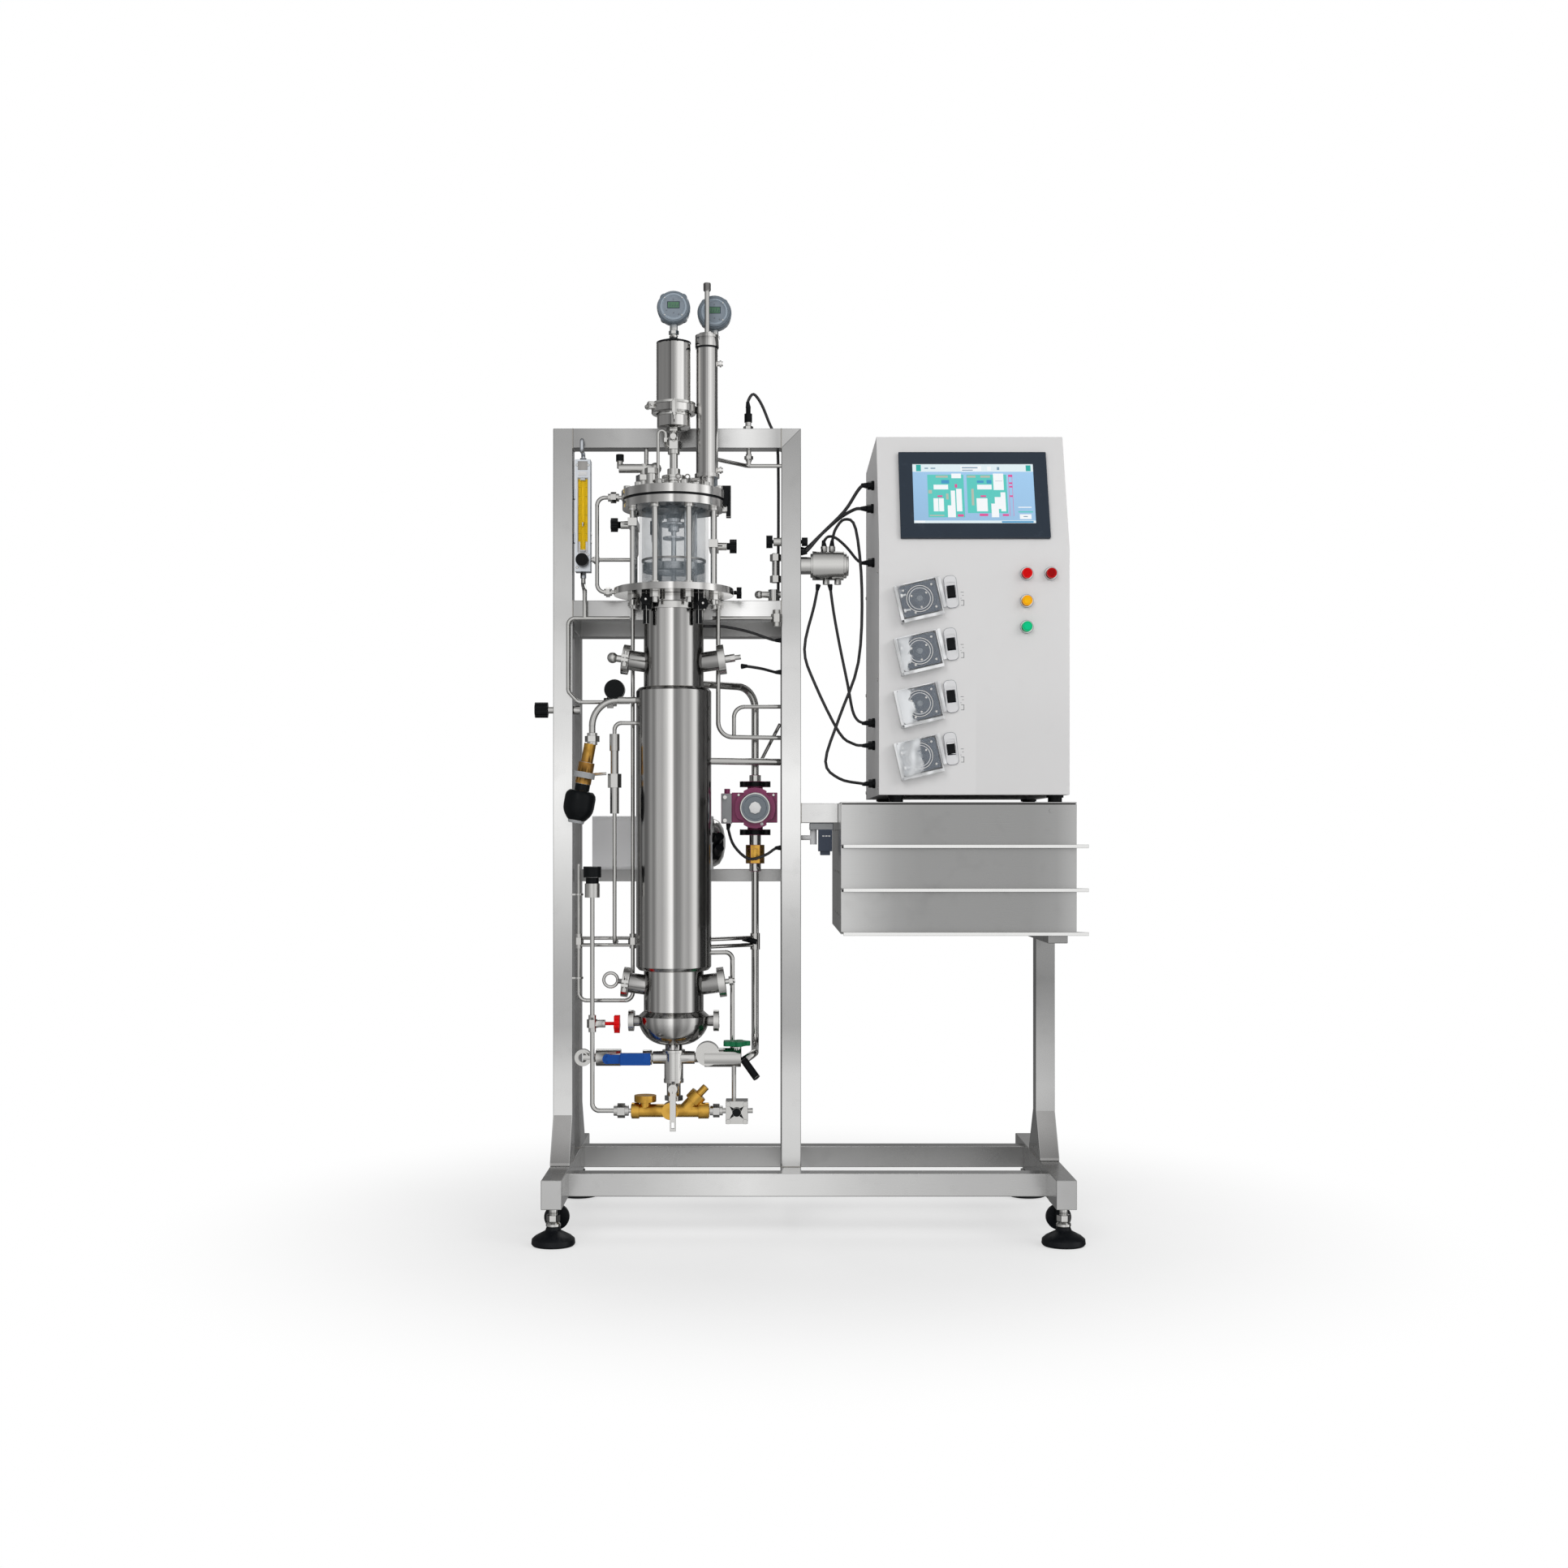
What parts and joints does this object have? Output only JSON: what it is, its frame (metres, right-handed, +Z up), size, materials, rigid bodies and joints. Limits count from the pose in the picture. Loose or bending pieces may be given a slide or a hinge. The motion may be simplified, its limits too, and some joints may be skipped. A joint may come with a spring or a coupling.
{
  "type": "floor-standing bioreactor",
  "caption": "Stirred-tank bioreactor on a stainless skid: jacketed vessel with sight glass, piping, sloped touch-screen cabinet with dosing pumps, and a drawer unit.",
  "frame": {"origin": "on the floor, at the centre of the footprint", "axes": "+Z up, -Y towards the operator's side, +X towards the control cabinet"},
  "size_m": [1.107, 0.6058, 1.91],
  "materials": {
    "satin_stainless": "satin tube",
    "polished_stainless": "polished",
    "clear_glass": "clear",
    "gasket_white": "matt",
    "gauge_blue": "satin",
    "meter_body": "satin",
    "brass": "cast and machined",
    "pump_magenta": "enamel",
    "tank_white": "enamel",
    "plug_blue": "moulded",
    "cabinet_grey": "powder coat",
    "foot_rubber": "moulded",
    "screen_slate": "bezel and display",
    "panel_slate": "moulded",
    "clear_plastic": "clear",
    "brushed_sheet": "brushed sheet",
    "red_cap": "moulded",
    "dark_red_cap": "moulded",
    "yellow_cap": "moulded",
    "green_cap": "moulded",
    "black_plastic": "moulded",
    "green_wheel": "moulded",
    "red_wheel": "moulded",
    "blue_lever": "dipped grip",
    "cable_jacket": "smooth jacket"
  },
  "bodies": {
    "skid": {"base_frame": "satin_stainless", "levelling_feet": "satin_stainless", "front_frame": "satin_stainless", "rear_frame": "satin_stainless", "drawer_stand": "satin_stainless", "jacketed_vessel": "polished_stainless", "bottom_head": "polished_stainless", "drain_valve_body": "polished_stainless", "base_flange": "polished_stainless", "sight_glass": "clear_glass", "tie_rods": "polished_stainless", "head_plate": "polished_stainless", "head_gasket": "gasket_white", "dip_probe": "polished_stainless", "filter_housing": "polished_stainless", "filter_base": "polished_stainless", "condenser": "polished_stainless", "pressure_gauges": "gauge_blue", "rotameter": "meter_body", "left_pipes": "satin_stainless", "right_pipes": "satin_stainless", "hygienic_clamps": "polished_stainless", "brass_strainer": "brass", "reducing_valve": "brass", "circulation_pump": "pump_magenta", "hot_water_tank": "tank_white", "transmitter_housing": "satin_stainless", "solenoid_valve": "plug_blue", "cabinet_shell": "cabinet_grey", "feet_and_glands": "foot_rubber", "screen": "screen_slate", "panel_fittings": "panel_slate", "pump_covers": "clear_plastic", "drawer_casing": "brushed_sheet", "cabinet_cables": "cable_jacket", "frame_cables": "cable_jacket"},
    "drawer_top": {"drawer_top": "brushed_sheet"},
    "drawer_middle": {"drawer_middle": "brushed_sheet"},
    "drawer_bottom": {"drawer_bottom": "brushed_sheet"},
    "button_stop": {"button_stop": "red_cap"},
    "button_alarm": {"button_alarm": "dark_red_cap"},
    "button_pause": {"button_pause": "yellow_cap"},
    "button_start": {"button_start": "green_cap"},
    "rotor_1": {"rotor_1": "black_plastic"},
    "rotor_2": {"rotor_2": "black_plastic"},
    "rotor_3": {"rotor_3": "black_plastic"},
    "rotor_4": {"rotor_4": "black_plastic"},
    "rocker_1": {"rocker_1": "black_plastic"},
    "rocker_2": {"rocker_2": "black_plastic"},
    "rocker_3": {"rocker_3": "black_plastic"},
    "rocker_4": {"rocker_4": "black_plastic"},
    "green_handwheel": {"green_handwheel": "green_wheel"},
    "red_knob": {"red_knob": "red_wheel"},
    "rotameter_knob": {"rotameter_knob": "black_plastic"},
    "drain_lever": {"drain_lever": "blue_lever"},
    "sampling_lever": {"sampling_lever": "polished_stainless"},
    "relief_knob": {"relief_knob": "black_plastic"},
    "star_knob": {"star_knob": "black_plastic"},
    "left_star_knob": {"left_star_knob": "black_plastic"},
    "post_knob": {"post_knob": "black_plastic"}
  },
  "joints": [
    {"name": "drawer_top_slide", "type": "slide", "parent": "skid", "child": "drawer_top", "axis": [0, -1, 0], "range_m": [0, 0.32]},
    {"name": "drawer_middle_slide", "type": "slide", "parent": "skid", "child": "drawer_middle", "axis": [0, -1, 0], "range_m": [0, 0.32]},
    {"name": "drawer_bottom_slide", "type": "slide", "parent": "skid", "child": "drawer_bottom", "axis": [0, -1, 0], "range_m": [0, 0.32]},
    {"name": "button_stop_press", "type": "slide", "parent": "skid", "child": "button_stop", "axis": [0, 1, 0], "range_m": [0, 0.004], "stiffness_N_per_m": 400},
    {"name": "button_alarm_press", "type": "slide", "parent": "skid", "child": "button_alarm", "axis": [0, 1, 0], "range_m": [0, 0.004], "stiffness_N_per_m": 400},
    {"name": "button_pause_press", "type": "slide", "parent": "skid", "child": "button_pause", "axis": [0, 1, 0], "range_m": [0, 0.004], "stiffness_N_per_m": 400},
    {"name": "button_start_press", "type": "slide", "parent": "skid", "child": "button_start", "axis": [0, 1, 0], "range_m": [0, 0.004], "stiffness_N_per_m": 400},
    {"name": "rotor_1_spin", "type": "hinge", "parent": "skid", "child": "rotor_1", "pos_m": [0.219, -0.223, 1.265], "axis": [0, -1, 0], "continuous": true},
    {"name": "rotor_2_spin", "type": "hinge", "parent": "skid", "child": "rotor_2", "pos_m": [0.219, -0.223, 1.162], "axis": [0, -1, 0], "continuous": true},
    {"name": "rotor_3_spin", "type": "hinge", "parent": "skid", "child": "rotor_3", "pos_m": [0.219, -0.223, 1.059], "axis": [0, -1, 0], "continuous": true},
    {"name": "rotor_4_spin", "type": "hinge", "parent": "skid", "child": "rotor_4", "pos_m": [0.219, -0.223, 0.956], "axis": [0, -1, 0], "continuous": true},
    {"name": "rocker_1_tip", "type": "hinge", "parent": "skid", "child": "rocker_1", "pos_m": [0.282, -0.226, 1.28], "axis": [0.9936, 0, 0.1132], "range_deg": [-14, 0]},
    {"name": "rocker_2_tip", "type": "hinge", "parent": "skid", "child": "rocker_2", "pos_m": [0.282, -0.226, 1.177], "axis": [0.9936, 0, 0.1132], "range_deg": [-14, 0]},
    {"name": "rocker_3_tip", "type": "hinge", "parent": "skid", "child": "rocker_3", "pos_m": [0.282, -0.226, 1.074], "axis": [0.9936, 0, 0.1132], "range_deg": [-14, 0]},
    {"name": "rocker_4_tip", "type": "hinge", "parent": "skid", "child": "rocker_4", "pos_m": [0.282, -0.226, 0.971], "axis": [0.9936, 0, 0.1132], "range_deg": [-14, 0]},
    {"name": "green_handwheel_turn", "type": "hinge", "parent": "skid", "child": "green_handwheel", "pos_m": [-0.143, -0.15, 0.382], "axis": [0, 0, 1], "range_deg": [0, 720]},
    {"name": "red_knob_turn", "type": "hinge", "parent": "skid", "child": "red_knob", "pos_m": [-0.4, -0.17, 0.424], "axis": [1, 0, 0], "range_deg": [0, 720]},
    {"name": "rotameter_knob_turn", "type": "hinge", "parent": "skid", "child": "rotameter_knob", "pos_m": [-0.458, -0.062, 1.363], "axis": [0, -1, 0], "range_deg": [0, 720]},
    {"name": "drain_lever_turn", "type": "hinge", "parent": "skid", "child": "drain_lever", "pos_m": [-0.399, -0.15, 0.354], "axis": [0, 1, 0], "range_deg": [0, 90]},
    {"name": "sampling_lever_turn", "type": "hinge", "parent": "skid", "child": "sampling_lever", "pos_m": [-0.268, -0.15, 0.2957], "axis": [0, -1, 0], "range_deg": [0, 90]},
    {"name": "relief_knob_turn", "type": "hinge", "parent": "skid", "child": "relief_knob", "pos_m": [-0.518, -0.062, 1.058], "axis": [-1, 0, 0], "range_deg": [0, 720]},
    {"name": "star_knob_turn", "type": "hinge", "parent": "skid", "child": "star_knob", "pos_m": [-0.188, -0.15, 1.381], "axis": [1, 0, 0], "range_deg": [0, 360]},
    {"name": "left_star_knob_turn", "type": "hinge", "parent": "skid", "child": "left_star_knob", "pos_m": [-0.348, -0.15, 1.424], "axis": [-1, 0, 0], "range_deg": [0, 360]},
    {"name": "post_knob_turn", "type": "hinge", "parent": "skid", "child": "post_knob", "pos_m": [-0.031, -0.062, 1.404], "axis": [1, 0, 0], "range_deg": [0, 720]}
  ]
}
